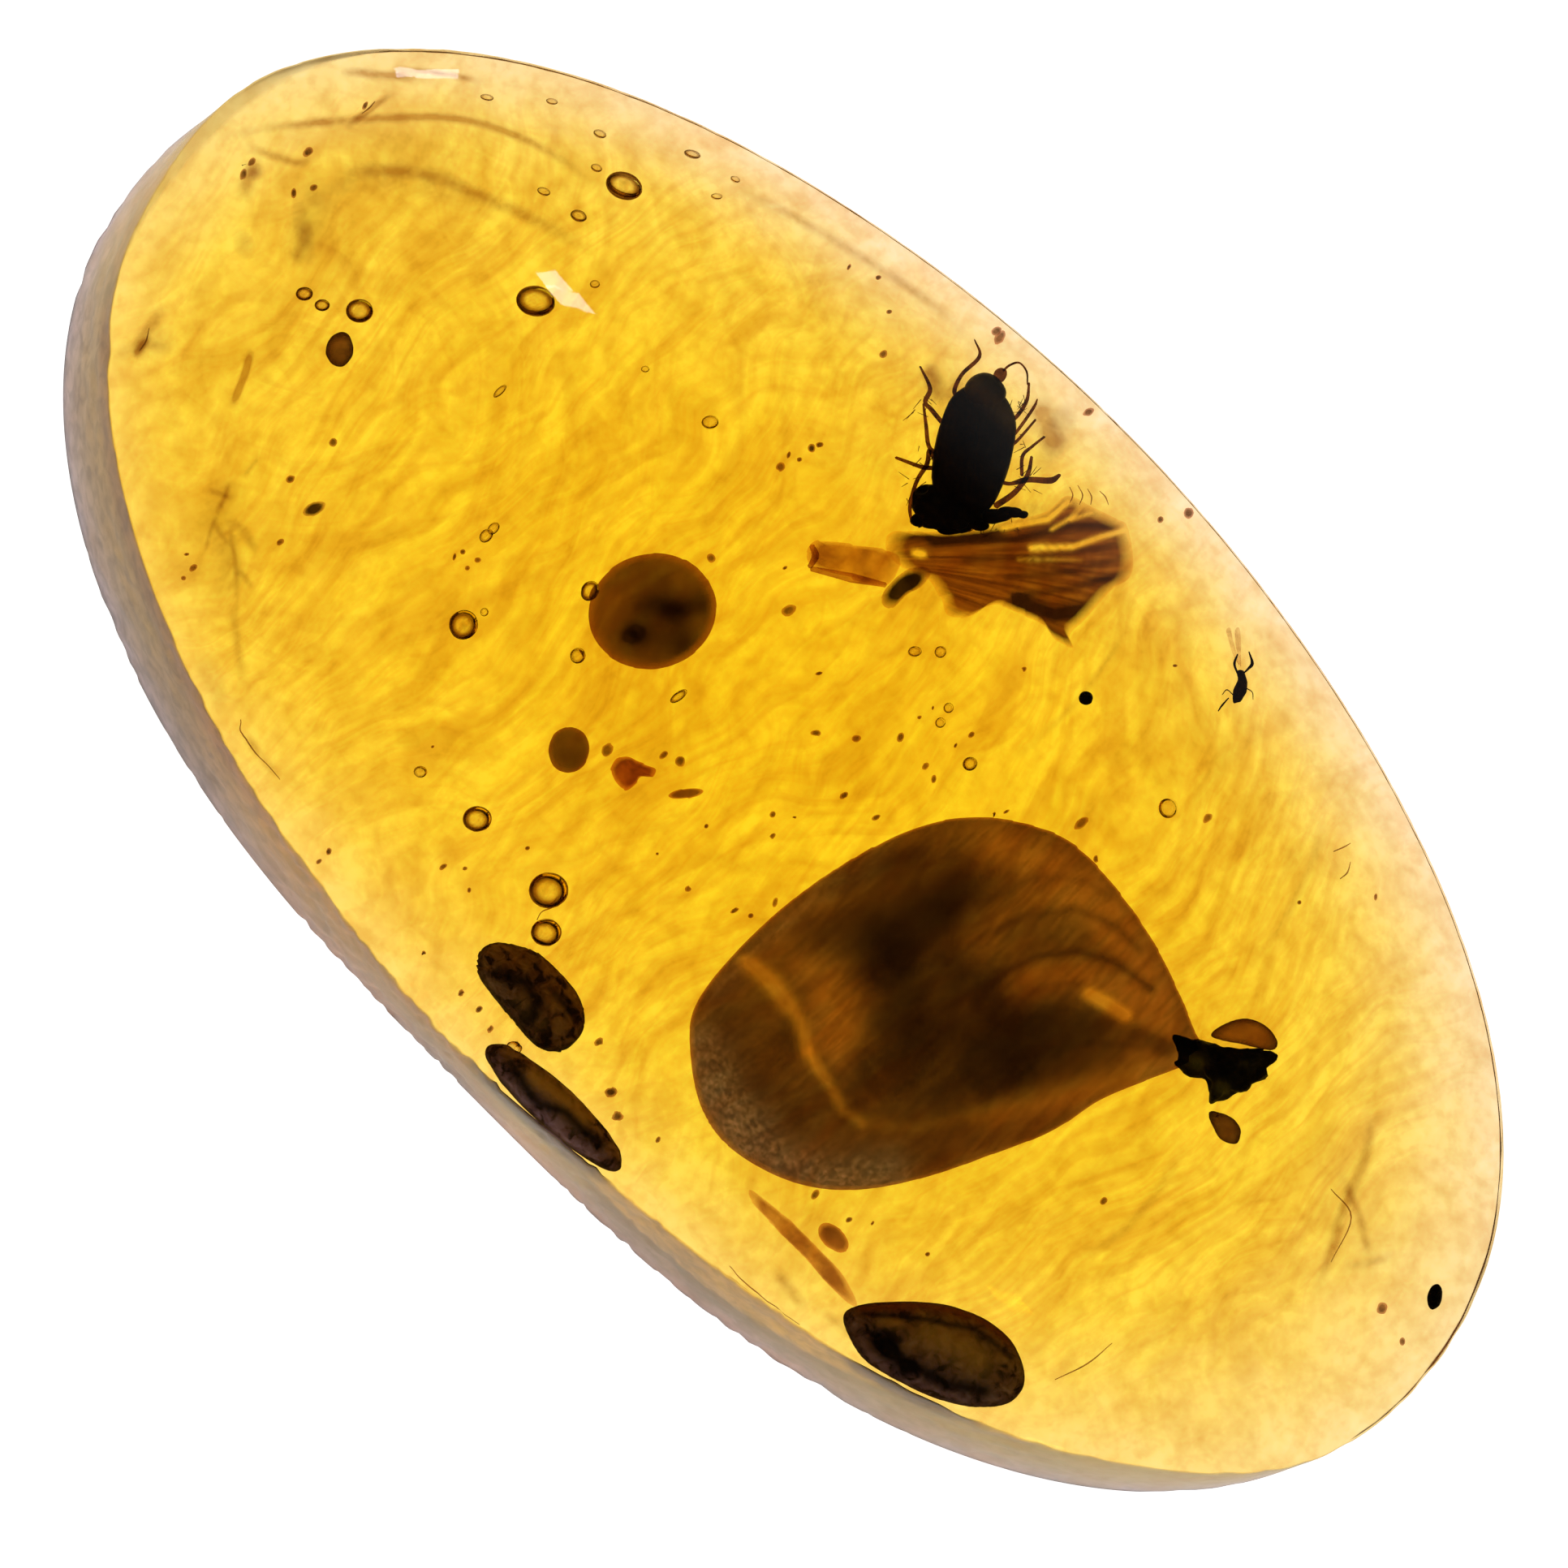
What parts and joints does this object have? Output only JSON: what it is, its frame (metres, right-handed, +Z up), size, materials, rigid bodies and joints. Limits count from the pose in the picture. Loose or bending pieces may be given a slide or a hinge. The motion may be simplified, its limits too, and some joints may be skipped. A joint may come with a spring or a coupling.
{
  "type": "insect in amber",
  "caption": "Polished oval pebble of clear honey-yellow amber with a beetle, a midge, a dark drop of resin, plant scraps and grains sealed inside.",
  "frame": {"origin": "middle of the pebble's outline, on the flat middle of its back that it rests on", "axes": "+X along the pebble's length, toward the end with the grain near its rim; +Z up through the dome; the steep side wall faces -Y and the insects lie on the +Y side"},
  "size_m": [0.03, 0.0159, 0.0056],
  "materials": {
    "amber": "polished",
    "beetle_black": "satin",
    "midge_brown": "satin",
    "scrap_brown": "matte",
    "scrap_red": "matte",
    "charred_black": "gloss",
    "crusted_brown": "matte",
    "pellet_brown": "satin",
    "drop_brown": "satin"
  },
  "bodies": {
    "root": {"amber_lower": "amber", "amber_upper": "amber", "beetle": "beetle_black", "black_grain": "charred_black", "black_lump": "charred_black", "brown_grain": "crusted_brown", "dark_crumb": "charred_black", "dark_oval_1": "crusted_brown", "dark_oval_2": "crusted_brown", "dark_oval_3": "crusted_brown", "gas_dome": "pellet_brown", "grey_crumb": "crusted_brown", "long_grain": "charred_black", "long_sliver": "scrap_brown", "midge": "midge_brown", "pleated_scrap": "scrap_brown", "red_crumb": "scrap_red", "resin_drop": "drop_brown", "rim_grain": "charred_black", "round_pellet": "pellet_brown", "short_sliver": "scrap_brown", "small_pellet": "pellet_brown", "strip_scrap": "scrap_brown", "tip_grain": "crusted_brown"}
  },
  "joints": []
}
